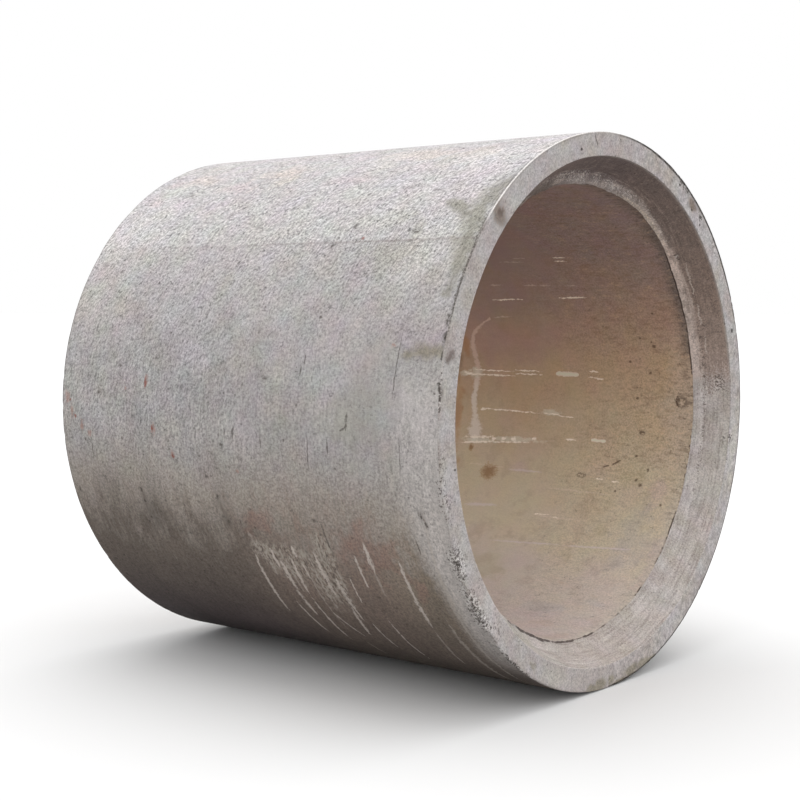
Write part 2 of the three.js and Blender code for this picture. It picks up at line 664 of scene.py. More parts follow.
    def stain(self, marks, chart, noise, limits, amount, colour):
        """Lays a colour on marks with uneven borders, where any can show."""
        if any(self.shown(mark) for mark in marks):
            self.paint((self.marks(marks, chart) + noise).rise(*limits) * amount, colour)

    def tones(self, marks):
        """How much soft patches lighten or darken the finish. Each ends with its share."""
        total = 0
        for *mark, share in marks:
            if self.in_reach(mark[1], mark[1], mark[3]):
                near = self.distance(mark, self.chart).rise(1, 0.2)
                total = near.math("MULTIPLY_ADD", near, share, total)
        return total

    def finished(self, roughness, height):
        """Links the colour, the roughness and the height of the fine relief, in metres."""
        self.links.new(self.colour.socket, self.shader.inputs["Base Color"])
        self.links.new(roughness.socket, self.shader.inputs["Roughness"])
        bump = self.node("ShaderNodeBump", sockets={"Strength": 1, "Distance": 1, "Height": height})
        self.links.new(bump.socket, self.shader.inputs["Normal"])
        return self


# ---------------------------------------------------------------------------------------------
# Finishes. Their sectors are given by name, from and to, in degrees, and are small where there
# are many marks.

BARREL_SECTORS = [
    ("far side", -180, 6), ("crown", 6, 62), ("upper flank", 62, 90), ("flank", 90, 110),
    ("underside", 110, 181),
]
BORE_SECTORS = [
    ("foot", -180, -121), ("lower wall", -121, -100), ("wall", -100, -76),
    ("upper wall", -76, -40), ("crown and near side", -40, 181),
]

# Strokes on the barrel
DRAG_SCRATCHES = [
    (1.012, 118.2, 1.024, 138, 0.01), (0.914, 117.2, 0.906, 123, 0.012),
    (0.88, 119.8, 0.878, 129.5, 0.015), (0.882, 127, 0.87, 138, 0.0105),
    (0.932, 132, 0.91, 145, 0.007), (0.792, 116.3, 0.786, 119.4, 0.011),
    (0.82, 119, 0.823, 130.4, 0.0105), (0.768, 120.5, 0.768, 125, 0.006),
    (0.824, 130, 0.82, 147, 0.008), (0.684, 116.3, 0.677, 129, 0.015),
    (0.626, 122.4, 0.62, 134, 0.015), (0.63, 131, 0.662, 143, 0.011),
    (0.62, 130, 0.618, 136.5, 0.006), (0.77, 134, 0.7, 144, 0.006),
    (0.478, 116.4, 0.477, 125.2, 0.008), (0.414, 112.8, 0.407, 121, 0.014),
    (0.55, 122.2, 0.556, 130.4, 0.005), (0.584, 135.4, 0.576, 147, 0.0055),
    (0.27, 115, 0.264, 135, 0.012), (0.478, 133.5, 0.474, 151, 0.0055),
]
FAINT_DRAGS = [
    (0.1, 100, 0.1, 160, 0.012), (0.17, 128, 0.17, 160, 0.014), (1.006, 114, 0.966, 121, 0.018),
    (0.264, 133, 0.29, 151, 0.008), (0.408, 119, 0.408, 127, 0.009), (0.72, 117, 0.716, 136, 0.008),
    (0.76, 119, 0.765, 142, 0.006), (0.85, 118, 0.846, 130, 0.009), (0.95, 116, 0.944, 126, 0.01),
    (0.6, 118, 0.598, 128, 0.007), (0.74, 146, 0.73, 154, 0.006),
]
CUTS = [
    (0.196, 72, 0.208, 85.5, 0.0036), (0.173, 91, 0.177, 99.5, 0.0035),
    (0.411, 87.6, 0.42, 91.4, 0.008), (0.418, 90.6, 0.446, 91.4, 0.006),
    (0.507, 92.8, 0.509, 96, 0.006), (0.603, 92, 0.609, 99.5, 0.0036),
    (0.84, 91.5, 0.844, 96, 0.0042), (0.98, 91.5, 0.99, 94.6, 0.006),
    (1.03, 92, 1.034, 94.4, 0.004), (1.818, 97.5, 1.824, 101.5, 0.004),
    (0.646, 79.2, 0.65, 81.4, 0.005), (0.632, 76.8, 0.634, 79.4, 0.005),
    (0.598, 109.8, 0.588, 117.4, 0.006), (0.16, 111, 0.154, 114.6, 0.005),
    (1.026, 111.6, 1.03, 113.2, 0.005), (0.44, 19.8, 0.47, 18, 0.006),
    (1.1, 18.2, 1.13, 16.8, 0.007),
]
SOFT_MARKS = [
    (1.564, 105.5, 1.55, 113, 0.026), (1.556, 111, 1.5, 117, 0.028),
    (1.12, 105.5, 1.108, 111, 0.024), (1.112, 109.5, 1.09, 115, 0.026),
    (0.128, 104.6, 0.084, 109.2, 0.022),
]
# A painted shadow line along the corner behind the rim, with spots of dirt on it
RIM_SHADE_AND_DIRT = [
    (0.012, 28, 0.01, 46, 0.008), (0.01, 45, 0.003, 57, 0.014), (0, 56, 0.002, 71, 0.014),
    (0.012, 68.5, 0.014, 71.5, 0.017), (0.01, 72, 0.006, 74.6, 0.019),
    (0.012, 75.6, 0.01, 77.8, 0.006), (0.004, 81.2, 0.006, 83.6, 0.012),
]
# Patches on the barrel
SCUFFS = [
    (0.79, 121, 0.23, 0.12), (0.68, 124, 0.13, 0.19), (0.63, 118, 0.07, 0.13),
    (0.93, 119, 0.1, 0.07),
]
DARK_SPOTS = [
    (0.009, 73.2, 0.012, 0.013), (0.004, 82.6, 0.012, 0.017), (0.026, 83.4, 0.007, 0.008),
    (1.349, 97.6, 0.009, 0.009), (1.332, 98.9, 0.012, 0.01), (1.314, 100.1, 0.011, 0.012),
    (1.562, 107.4, 0.01, 0.014), (1.558, 110, 0.01, 0.013), (1.552, 113.9, 0.014, 0.012),
    (1.064, 93.7, 0.009, 0.01), (1.048, 95.9, 0.012, 0.014), (1.116, 107, 0.01, 0.012),
    (1.158, 102.7, 0.013, 0.01), (1.09, 112.6, 0.014, 0.013), (1.43, 109.3, 0.01, 0.009),
    (0.112, 106.4, 0.012, 0.014), (0.096, 108, 0.014, 0.012), (1.626, 96.2, 0.009, 0.011),
    (1.86, 97, 0.009, 0.009), (1.6, 102.6, 0.009, 0.01), (1.76, 86.5, 0.018, 0.009),
    (1.64, 80.6, 0.014, 0.01), (0.45, 127, 0.013, 0.013), (0.668, 53.9, 0.016, 0.016),
    (0.6, 48.9, 0.018, 0.018), (0.295, 51, 0.028, 0.012), (1.37, 73.4, 0.01, 0.009),
    (1.226, 70.7, 0.009, 0.007), (0.89, 67.6, 0.008, 0.007), (0.594, 69.6, 0.009, 0.007),
    (0.656, 86.9, 0.008, 0.007), (1.344, 85.1, 0.009, 0.008), (1.26, 80, 0.008, 0.007),
    (1.036, 85.3, 0.008, 0.007), (0.938, 91.3, 0.009, 0.008), (1.056, 95.8, 0.009, 0.008),
    (0.722, 93.8, 0.008, 0.007), (1.18, 98.5, 0.009, 0.008), (0.478, 98.6, 0.007, 0.007),
    (0.154, 102.8, 0.007, 0.006), (0.078, 111.2, 0.006, 0.006), (0.63, 109.8, 0.016, 0.01),
    (0.954, 113.2, 0.008, 0.007), (0.99, 93, 0.008, 0.014), (0.822, 82, 0.018, 0.008),
    (1.96, 109, 0.01, 0.02),
]
PITS_ABOVE = [
    (1.686, 35.5, 0.022, 0.018), (1.314, 37.9, 0.02, 0.016), (1.12, 48, 0.016, 0.016),
    (1.322, 43.8, 0.018, 0.014), (0.556, 37.2, 0.02, 0.014), (0.458, 37.5, 0.018, 0.014),
    (0.454, 31.2, 0.016, 0.012), (0.33, 39, 0.016, 0.014),
]
PIT_CLUSTERS = [
    (0.85, 80.6, 0.04, 0.04), (0.666, 79.8, 0.03, 0.06), (1.484, 100.7, 0.04, 0.04),
    (1.56, 92, 0.05, 0.04),
]
WORN_RIM = [
    (0.004, 115.5, 0.05, 0.1), (0.004, 121, 0.02, 0.12), (0.012, 128.5, 0.04, 0.12),
    (0, 143, 0.018, 0.2),
]
SPECKLED_RIM = [(0, 82, 0.02, 0.1), (0.008, 101, 0.045, 0.24), (0.02, 122, 0.05, 0.24)]
RED_RUST = [
    (1.482, 84.1, 0.01, 0.026), (1.44, 93.4, 0.009, 0.014), (1.33, 99.2, 0.009, 0.012),
    (0.53, 52.2, 0.01, 0.009), (1.946, 88.6, 0.008, 0.008), (1.914, 92, 0.01, 0.01),
]
BROWN_RUST = [
    (1.476, 83.2, 0.016, 0.03), (1.435, 93.6, 0.02, 0.036), (1.965, 88, 0.022, 0.05),
    (1.935, 91, 0.016, 0.045), (1.875, 94, 0.018, 0.035), (1.83, 95.6, 0.02, 0.02),
    (1.6, 85.4, 0.012, 0.012), (1.335, 98.6, 0.016, 0.022), (1.88, 94, 0.014, 0.01),
    (0.23, 74.9, 0.014, 0.01), (0.98, 101, 0.012, 0.01),
]
PINK_STAINS = [(0.38, 116, 0.2, 0.16), (0.92, 112, 0.14, 0.07), (0.22, 125, 0.04, 0.08)]
GREEN_STAINS = [
    (0.04, 50, 0.12, 0.34), (0.16, 45, 0.09, 0.04), (0.36, 55, 0.2, 0.2), (0.4, 88, 0.2, 0.2),
]
SMUDGE = [(0.1, 76.2, 0.09, 0.045), (0.16, 76.6, 0.05, 0.034), (0.04, 76, 0.06, 0.034)]
COOL_PATCH = [(1.3, 69, 0.45, 0.42)]
SMOOTH_PATCH = [(0.33, 86, 0.3, 0.34)]
BEIGE_PATCHES = [(0.36, 25, 0.2, 0.14), (1.25, 27, 0.22, 0.17)]
PEACH_PATCHES = [(1.732, 28, 0.16, 0.09), (1.252, 28, 0.2, 0.1), (0.62, 21, 0.34, 0.12)]
PINK_PATCHES_ABOVE = [
    (1.884, 29.9, 0.08, 0.05), (1.872, 38, 0.07, 0.06), (1.45, 33, 0.2, 0.06), (0.8, 33, 0.2, 0.07),
]
# Green-grey runs behind the rim, as the places they pass: (behind, angle, half width)
GREEN_BAND = [
    (0.03, 37, 0.045), (0.05, 43, 0.08), (0.06, 49, 0.085), (0.048, 56, 0.055), (0.035, 65, 0.035),
]
GREEN_TAIL = [(0.22, 43.2, 0.028), (0.165, 44.2, 0.036), (0.12, 46.3, 0.04), (0.05, 47.5, 0.05)]
# Soft patches on the barrel: (behind, angle, half length, half height, lighter or darker by)
BARREL_TONES = [
    (1.3, 84, 0.4, 0.4, -0.1), (1.9, 54, 0.42, 0.4, 0.11), (1.85, 66, 0.28, 0.2, 0.11),
    (1.3, 75, 0.3, 0.14, -0.04), (1.58, 113, 0.16, 0.13, -0.13), (1.26, 107.5, 0.07, 0.12, 0.08),
    (1.5, 64, 0.28, 0.16, 0.06), (1.2, 74, 0.13, 0.26, 0.07), (0.24, 59, 0.13, 0.24, 0.12),
    (0.65, 77, 0.2, 0.26, -0.075), (1.49, 111, 0.11, 0.22, -0.17), (1.1, 101.5, 0.14, 0.16, -0.1),
    (1.0, 114.5, 0.1, 0.1, -0.12), (0.26, 119, 0.15, 0.3, 0.1), (0.24, 28.5, 0.2, 0.16, 0.1),
    (0.12, 56, 0.08, 0.1, 0.1), (0.2, 57, 0.1, 0.1, 0.06), (0.32, 125, 0.16, 0.2, 0.06),
    (0.1, 22, 0.22, 0.2, 0.05), (1.0, 24, 0.6, 0.14, 0.02), (1.76, 107, 0.12, 0.14, -0.14),
    (1.14, 112, 0.1, 0.1, -0.08), (1.5, 122, 0.12, 0.08, 0.1), (1.7, 35, 0.4, 0.14, 0.03),
    (1.95, 112, 0.5, 0.8, -0.08), (1.9, 148, 0.42, 0.4, -0.18), (1.25, 146, 0.25, 0.16, 0.24),
    (0.08, 151, 0.2, 0.16, -0.08), (0.8, 115, 0.2, 0.1, -0.07), (0.8, 126, 0.24, 0.12, 0.08),
    (0.03, 38, 0.05, 0.34, -0.07), (1.35, 35, 0.3, 0.14, -0.05), (0.05, 120, 0.13, 0.4, 0.13),
]


def barrel_finish(name, *sector):
    finish = Finish("barrel", "weathered barrel, " + name, BARREL, sector)
    paint, stain = finish.paint, finish.stain
    behind, angle, side = finish.behind, finish.angle, finish.side
    broad = finish.noise(0.42)
    cloud = finish.noise(0.1, 3, roughness=0.6)
    grain = finish.noise(0.0095, 3, roughness=0.7)
    specks = finish.noise(0.015, roughness=0.6)
    drawn = finish.noise(0.011, stretch=(1, 6, 6))
    scratchy = finish.noise(0.007, stretch=(1, 3.2, 3.2), roughness=0.65)
    sway = finish.swayed(0.05, 0.02, 1)
    fine_sway = finish.swayed(0.025, 0.007, 1)
    cloudy, lined = cloud - 0.5, drawn - 0.5
    blotchy, ragged = cloudy * 3, (grain - 0.5) * 2.4

    # Pale above, partly painted light from above, with faint pink, green and beige clouds
    finish.colour = finish.mix(broad.rise(0.4, 0.62), (178, 174, 173), (168, 163, 161))
    paint(side.rise(68, 40) * 0.75, (195, 191, 192))
    above_joint = (angle + blotchy).rise(54, 52)
    paint(above_joint * side.rise(40, 52) * 0.5, (192, 189, 188))
    finish.tint(0.034, 0.11)
    paint(side.rise(90, 110) * 0.7, (166, 154, 141))

    # Dirt and painted shade below, darker away from the socket, and a clean band behind the socket
    # face
    streaked = finish.noise(0.05, stretch=(1, 3, 3), roughness=0.6) - 0.5
    away = (behind + (broad - 0.5) * 0.4).rise(0.8, 1.25)
    clean = behind + cloudy * 0.06 + lined * 0.05 + side.rise(104, 126) * 0.09
    clean = clean.rise(0.24, 0.13)
    dirt_and_shade = finish.mix(away, (139, 123, 113), (112, 102, 94))
    dirt_and_shade = finish.mix(behind.rise(0.5, 0.2) * 0.6, dirt_and_shade, (132, 123, 108))
    darkest = finish.mix(away, (112, 100, 92), (84, 74, 74))
    dirt_and_shade = finish.mix(side.rise(120, 150), dirt_and_shade, darkest)
    shade_and_dirt_mask = (side + cloudy * 22 + lined * 22 + streaked * 24).rise(102, 124)
    paint(shade_and_dirt_mask * (1 - 0.85 * clean * side.rise(152, 130)), dirt_and_shade)
    paint(clean * side.within(76, 88, 134, 156) * 0.7, (194, 188, 185))

    # Stains
    stain(PINK_STAINS, sway, blotchy, (0.1, 0.8), 0.42, (148, 116, 106))
    stain(GREEN_STAINS, sway, blotchy, (0.1, 0.9), 0.45, (158, 155, 144))
    green = finish.trail(sway, GREEN_BAND, GREEN_TAIL) + blotchy * 0.8 + ragged * 0.5
    paint(green.rise(0, 0.9) * 0.66, (138, 135, 123))
    stain(COOL_PATCH, sway, blotchy * 0.5, (0, 0.9), 0.35, (182, 179, 185))
    stain(SMUDGE, sway, blotchy * 0.6 + ragged * 0.4, (0, 1), 0.74, (134, 127, 108))
    stain(BEIGE_PATCHES, sway, blotchy, (0.1, 0.9), 0.26, (200, 188, 178))
    stain(PEACH_PATCHES, sway, blotchy * 0.5, (0.1, 0.9), 0.42, (206, 192, 183))
    stain(PINK_PATCHES_ABOVE, sway, blotchy * 0.6, (0.1, 1), 0.4, (202, 184, 186))

    # Grain and pits, with painted light on the upper side of each lump and painted shade under it
    coarse = side.rise(84, 44)
    lumpy = {"detail": 3, "stretch": (1, 1.6, 1.6), "roughness": 0.75}
    rough = finish.noise(0.0125, **lumpy)
    lump_above = finish.noise(0.0125, shift=(-0.003, 0.0022, 0.0045), **lumpy)
    painted_relief_shading = (rough - lump_above).swing(-0.1, 0.1)
    soft_spots = finish.noise(0.03, roughness=0.6).rise(0.43, 0.3)
    textured = coarse.larger(behind.rise(0.7, 1.3) * side.rise(106, 90) * 0.6)
    smooth = (finish.marks(SMOOTH_PATCH, sway) + blotchy).rise(0.1, 1)
    smooth = smooth.larger(green.rise(0, 0.6) * 0.8)
    calmed = 1 - 0.5 * smooth
    tone = 1 + grain.swing(0.34, 0.66) * (0.42 + 0.03 * coarse) * (1 - 0.6 * smooth)
    tone = tone + rough.swing(0.38, 0.62) * (0.06 + 0.22 * textured)
    tone = tone + painted_relief_shading * (0.08 + 0.34 * textured) * calmed
    tone = tone + drawn.swing(0.3, 0.7) * 0.17 * side.rise(56, 90) * calmed
    tone = tone * (1 - soft_spots * (0.08 + 0.06 * coarse + 0.1 * behind.rise(0.6, 1.4)))
    nicks = scratchy.rise(0.66, 0.74) * side.within(68, 78, 104, 116)
    tone = tone * (1 - specks.rise(0.385, 0.3) * (0.25 + 0.3 * coarse)) * (1 - nicks * 0.35)
    tone = tone * (1 + specks.rise(0.62, 0.72) * 0.1 * coarse)
    patchy = cloudy * 0.3 + streaked * 0.24 * side.rise(60, 96) + finish.tones(BARREL_TONES)
    # The lowest part is darker still, as painted shade of the underside
    finish.tone(tone * (1 + patchy) * (1 - 0.28 * side.rise(144, 154)))

    # The scuffed patch and the marks left by dragging
    scuffed = (finish.marks(SCUFFS, sway) + blotchy * 0.5).rise(0, 0.6)
    flecks = finish.noise(0.012, stretch=(1, 1.7, 1.7), roughness=0.65) * 0.6 + scratchy * 0.4
    paint(scuffed * (0.12 + 0.6 * flecks.rise(0.46, 0.57)), (190, 181, 169))
    paint(scuffed * flecks.rise(0.47, 0.37) * 0.6, (74, 68, 62))
    dusty = (flecks - 0.5) * 3
    stain(DRAG_SCRATCHES, fine_sway, dusty + ragged * 0.5, (0.05, 0.8), 0.82, (216, 205, 196))
    stain(FAINT_DRAGS, fine_sway, dusty + ragged * 0.4, (0, 1), 0.55, (192, 182, 172))

    # Small marks, and painted shade along the corner behind the rim
    stain(PITS_ABOVE, fine_sway, ragged * 1.2, (0.1, 1), 0.6, (118, 112, 110))
    stain(SOFT_MARKS, fine_sway, dusty * 0.9 + ragged * 1.3, (0.1, 1.3), 0.5, (88, 80, 73))
    gritty = ragged * 1.1 + dusty * 0.5 + (specks - 0.5) * 2.4
    rim_shade_and_dirt = 0.45 + 0.4 * side.rise(44, 54)
    stain(RIM_SHADE_AND_DIRT, fine_sway, gritty, (0.15, 1), rim_shade_and_dirt, (76, 72, 66))
    stain(CUTS + DARK_SPOTS, fine_sway, ragged * 1.4, (0.05, 0.95), 0.75, (72, 65, 60))
    first, second = (abs(angle - degrees + cloudy * 0.8) for degrees in MOULD_JOINTS)
    joint = first.smaller(second).rise(0.42, 0.06) * (0.3 + 0.7 * grain.rise(0.4, 0.6))
    paint(joint * (0.45 + 0.55 * behind.rise(1.4, 0.4)) * 0.5, (122, 110, 107))
    stain(BROWN_RUST, fine_sway, ragged * 1.1, (0.1, 0.9), 0.55, (160, 112, 98))
    stain(RED_RUST, fine_sway, ragged * 0.5, (0, 0.6), 0.75, (134, 70, 56))

    # Worn and broken corners, and painted shade along the corner at the tongue's shoulder
    paint(finish.attribute("broken") * grain.rise(0.3, 0.6) * 0.65, (112, 104, 97))
    worn = finish.marks(WORN_RIM, sway) + blotchy * 0.3
    speckled = (finish.marks(SPECKLED_RIM, sway) + blotchy * 0.3) * 0.32
    clustered = finish.marks(PIT_CLUSTERS, sway) * 0.3
    finish.pitted(worn.larger(speckled).larger(clustered).larger(0))
    # Painted shade along the corner at the tongue's shoulder
    paint(behind.rise(LAID_LENGTH - 0.012, LAID_LENGTH - 0.005) * 0.6, (88, 82, 80))
    return finish.finished(0.86 + (grain - 0.5) * 0.3, grain * 0.0024 + rough * 0.0036 * coarse)


# Marks on the end face, with their radius instead of how far behind it they are
BLOWHOLES = [
    (1.022, 12.4, 0.008, 0.009), (1.034, -72.8, 0.011, 0.013), (1.0, 98, 0.005, 0.006),
    (1.046, -29.6, 0.007, 0.009), (1.06, -33.4, 0.008, 0.007), (1.022, -37.3, 0.006, 0.008),
    (1.02, -42.4, 0.006, 0.006),
]
FACE_PITTED = [
    (1.08, 84, 0.012, 0.08), (1.074, 115.5, 0.056, 0.11), (1.074, 127.5, 0.04, 0.14),
    (1.08, 143, 0.01, 0.2), (1.08, -48, 0.01, 0.08), (1.08, -137, 0.014, 0.14),
    (0.998, -99.5, 0.03, 0.03), (1.072, -31.2, 0.03, 0.08), (1.046, -41.3, 0.02, 0.03),
]
FACE_SPECKLED = [
    (1.068, 101, 0.05, 0.24), (1.078, 80, 0.02, 0.08), (1.05, -52, 0.03, 0.1),
    (1.04, 134, 0.05, 0.1),
]
FACE_DARK = [
    (1.054, -87.8, 0.014, 0.03), (1.066, -31.2, 0.03, 0.075), (1.046, -41.3, 0.018, 0.03),
    (1.064, -38, 0.016, 0.08), (1.03, -26, 0.012, 0.02), (1.04, -44, 0.014, 0.024),
    (1.07, -69, 0.012, 0.06), (1.07, -138, 0.012, 0.1), (1.072, 83, 0.016, 0.03),
]
FACE_BROWN = [(1.04, 45.4, 0.07, 0.048), (1.042, -36.8, 0.034, 0.05)]
FACE_SMEARS = [(1.024, 74.9, 1.07, 78.2, 0.026), (1.06, 45.2, 1.02, 44.4, 0.028)]
FACE_CRACK = [(1.074, 7.1, 1.02, 5.9, 0.0046)]
FACE_OLIVE = [(1.03, -37, 0.03, 0.02), (1.04, 150, 0.03, 0.06)]
FACE_PALE = [(1.03, -102, 0.05, 0.16), (1.04, 162, 0.04, 0.2)]
FOOT_STAIN = [
    (1.068, 173.5, 0.026, 0.05), (1.056, 177, 0.034, 0.06), (1.052, -179.6, 0.034, 0.05),
    (1.074, -176, 0.014, 0.08), (1.054, -170.6, 0.03, 0.06), (1.06, -166, 0.026, 0.06),
    (1.072, -162.5, 0.016, 0.06),
]
FACE_TONES = [
    (1.03, 130, 0.09, 0.22, 0.12), (1.03, -150, 0.09, 0.26, 0.05), (1.03, -101, 0.09, 0.3, 0.05),
    (1.03, -54, 0.09, 0.2, 0.03),
]


def end_face_finish():
    finish = Finish("end face", "trowelled end face", FACE_MIDDLE)
    paint, stain = finish.paint, finish.stain
    angle, radius = finish.angle, finish.radius
    cloud = finish.noise(0.1, 3, roughness=0.6)
    grain = finish.noise(0.007, 3, roughness=0.65)
    brushed = finish.noise(0.012, stretch=(1, 1.1, 4))
    mottle = finish.noise(0.024, roughness=0.6)
    sway = finish.swayed(0.03, 0.018)
    cloudy = cloud - 0.5
    blotchy, ragged = cloudy * 3, (grain - 0.5) * 2.4

    finish.colour = finish.mix(cloud.rise(0.38, 0.64), (184, 178, 177), (175, 168, 164))
    finish.tint(0.03, 0.1)
    paint((radius + cloudy * 0.03).rise(1.062, 1.084) * 0.3, (150, 143, 134))
    stain(FACE_PALE, sway, blotchy, (0, 0.8), 0.5, (198, 196, 187))
    paint(finish.side.rise(150, 168) * 0.5, (181, 170, 166))
    stain(FACE_OLIVE, sway, blotchy, (0.1, 0.8), 0.5, (142, 137, 116))
    stain(FOOT_STAIN, sway, blotchy * 0.3 + ragged * 0.3, (0, 0.6), 0.72, (138, 131, 112))
    stain(FACE_BROWN, sway, blotchy * 0.2 + ragged * 0.5, (0, 0.6), 0.85, (132, 118, 108))
    stain(FACE_SMEARS, sway, blotchy * 0.3 + ragged, (0.1, 1.1), 0.82, (98, 84, 78))
    stain(FACE_DARK, sway, blotchy * 0.5 + ragged * 1.2, (0.2, 0.9), 0.6, (108, 101, 98))
    pits = finish.noise(0.014, roughness=0.6).rise(0.34, 0.26)
    tone = 1 + grain.swing(0.34, 0.66) * 0.42 + brushed.swing(0.3, 0.7) * 0.04
    mottled = mottle.swing(0.36, 0.64) * (0.08 + 0.2 * angle.rise(0, -16))
    tone = tone * (1 - 0.45 * pits) * (1 + mottled)
    finish.tone(tone * (1 + finish.tones(FACE_TONES)))
    crack = (finish.marks(FACE_CRACK, sway) + ragged * 0.4).rise(0, 0.5)
    holes = finish.marks(BLOWHOLES).rise(0.1, 0.5)
    paint(holes.larger(crack * 0.8) * 0.85, (62, 55, 52))
    paint(finish.attribute("broken") * grain.rise(0.3, 0.6) * 0.6, (116, 108, 101))
    worn = finish.marks(FACE_PITTED, sway) + blotchy * 0.3
    speckled = (finish.marks(FACE_SPECKLED, sway) + blotchy * 0.3) * 0.36
    finish.pitted(worn.larger(0).larger(speckled))

    # The outer corner: a painted highlight on one side of the crown, painted shade below that and
    # on the other side
    # A painted highlight along the corner by the crown, with a thin darker line inside it
    worn = angle.within(4, 12, 45, 50) * grain.rise(0.3, 0.5)
    paint(radius.rise(1.0752, 1.0776) * worn * 0.85, (240, 236, 233))
    paint(radius.within(1.0695, 1.0715, 1.0738, 1.0756) * worn * 0.3, (100, 94, 92))
    # Painted shade along the corner below that, with some dirt
    shade_and_dirt_mask = angle.within(47, 54, 68, 78) * (0.5 + 0.5 * grain.rise(0.62, 0.44))
    paint(radius.rise(1.0735, 1.0765) * shade_and_dirt_mask * 0.85, (76, 72, 66))
    # Painted shade along the corner on the other side
    wider = angle.within(-72, -58, -24, -14) * 0.005
    far_corner_shade = (radius + cloudy * 0.008 + wider).rise(1.068, 1.072) * angle.rise(2, -12)
    paint(far_corner_shade * (0.66 + 0.3 * mottle.rise(0.35, 0.6)), (46, 41, 38))
    mouth = radius.rise(SOCKET_MOUTH + 0.006, SOCKET_MOUTH + 0.003)
    paint(mouth * grain.rise(0.42, 0.62) * cloud.rise(0.38, 0.54) * 0.5, (216, 209, 205))
    return finish.finished(0.88 + (grain - 0.5) * 0.25, grain * 0.0008 - holes * 0.005)


# Colours from the top down both sides of the pipe, in degrees
SOCKET_BROWNS_AND_SHADE = [
    (0, (106, 92, 90)), (30, (121, 105, 98)), (60, (136, 117, 106)), (72, (154, 135, 124)),
    (84, (168, 150, 140)),
]
SEAT_COLOURS = [
    (0, (170, 160, 156)), (14, (172, 162, 158)), (34, (220, 206, 198)), (48, (234, 213, 202)),
    (62, (209, 193, 184)), (90, (219, 203, 196)),
]
# Pale grains under the crown, and other marks in the socket
GRANULES = [(0.112, 24, 0.12, -16, 0.02), (0.124, -8, 0.12, -46, 0.016)]
SEAT_BORDER = [
    (0.094, -50, 0.098, -62, 0.004), (0.095, -63, 0.094, -70, 0.005),
    (0.09, -72, 0.086, -78, 0.004),
]
PALE_ARCS = [
    (0.036, 160, 0.034, 186, 0.004), (0.006, 150, 0.004, 186, 0.004),
    (0.06, 168, 0.056, 184, 0.003),
]
SOCKET_PITTED = [(0.045, -85.5, 0.045, 0.08), (0.02, -99.5, 0.03, 0.045), (0.112, -48, 0.014, 0.05)]


def socket_finish():
    finish = Finish("socket", "socket wall", SOCKET_MIDDLE)
    paint, stain = finish.paint, finish.stain
    behind, angle, side = finish.behind, finish.angle, finish.side
    cloud = finish.noise(0.09, 3, roughness=0.6)
    grain = finish.noise(0.007, 3, roughness=0.65)
    turned = finish.noise(0.008, 3, stretch=(1, 14, 14))
    sway = finish.swayed(0.03, 0.02)
    cloudy, grainy, ridged = cloud - 0.5, grain - 0.5, turned - 0.5

    # Brown in the upper half, darker towards the top as partly painted shade; clean below
    finish.colour = finish.mix(cloud.rise(0.4, 0.62), (192, 185, 181), (179, 171, 165))
    finish.tint(0.035, 0.12, 3)
    paint(side.rise(146, 174) * 0.4, (182, 170, 162))
    stained = (side + cloudy * 12 + grainy * 16).rise(88, 81)
    past_mouth = (behind + grainy * 0.012).rise(0.006, 0.014)
    # Brown that darkens towards the top, partly painted shade
    paint(stained * (0.35 + 0.57 * past_mouth), finish.by_side(SOCKET_BROWNS_AND_SHADE))
    uneven = behind + cloudy * 0.016 + ridged * 0.02
    seat = uneven.rise(SOCKET_WALL_DEPTH + 0.003, SOCKET_WALL_DEPTH + 0.026)
    shadowed = angle.rise(5, 18)
    paint(seat * 0.75 * stained * (1 - 0.9 * shadowed), finish.by_side(SEAT_COLOURS))
    paint(seat * shadowed * stained * 0.55, (86, 76, 66))
    granules = (finish.marks(GRANULES, sway) + 0.2).rise(0.1, 0.8)
    granules = granules * (grain + cloudy * 0.5).rise(0.5, 0.66)
    paint(granules * 0.7 * (1 - 0.7 * shadowed), (214, 207, 200))
    pale_edge = behind.rise(0.127, 0.132) * angle.within(-48, -38, -22, -12)
    paint(pale_edge * grain.rise(0.4, 0.55) * 0.4, (228, 212, 186))
    dull = finish.noise(0.02, 3, stretch=(1, 2, 2), roughness=0.65).rise(0.52, 0.4)
    paint(dull * side.within(26, 36, 64, 76) * seat * 0.5, (134, 122, 112))
    streaks = turned.rise(0.52, 0.68) * (0.08 + 0.34 * uneven.rise(0.06, 0.11))
    paint(streaks * stained, (190, 174, 164))
    paint(turned.rise(0.5, 0.34) * (0.16 + 0.12 * side.rise(72, 88)), (104, 92, 88))
    paint(turned.rise(0.54, 0.7) * (1 - stained) * 0.2, (220, 216, 212))
    mottle = finish.noise(0.026, 3, roughness=0.7)
    paint(mottle.rise(0.5, 0.36) * stained * 0.3, (84, 76, 74))
    paint(mottle.rise(0.54, 0.68) * stained * 0.22, (176, 158, 148))
    stain(SEAT_BORDER, sway, grainy * 2, (0, 0.5), 0.55, (206, 192, 182))
    stain(PALE_ARCS, sway, 0, (0, 0.6), 0.55, (214, 208, 203))
    pits = finish.noise(0.014, roughness=0.6).rise(0.34, 0.26)
    tone = (1 + grain.swing(0.34, 0.66) * 0.4) * (1 - 0.35 * pits)
    tone = tone * (1 - 0.06 * seat * (1 - stained))
    finish.tone(tone * (1 + cloudy * 0.5 * stained))
    finish.pitted((finish.marks(SOCKET_PITTED, sway) * 0.42).larger(0))

    # Grit caught where the seat begins on the far side, and painted shade in the crack round the
    # bore's lip
    grit = abs(behind - 0.104 + ridged * 0.012).rise(0.009, 0.002)
    grit = grit * angle.within(-122, -108, -64, -52) * ((grain + mottle) * 0.5).rise(0.5, 0.42)
    paint(grit * 0.6, (92, 80, 74))
    paint(finish.attribute("crevice").rise(0.1, 0.9) * 0.85, (64, 52, 48))
    return finish.finished(0.88 + grainy * 0.25, grain * 0.0014 + turned * 0.0012)


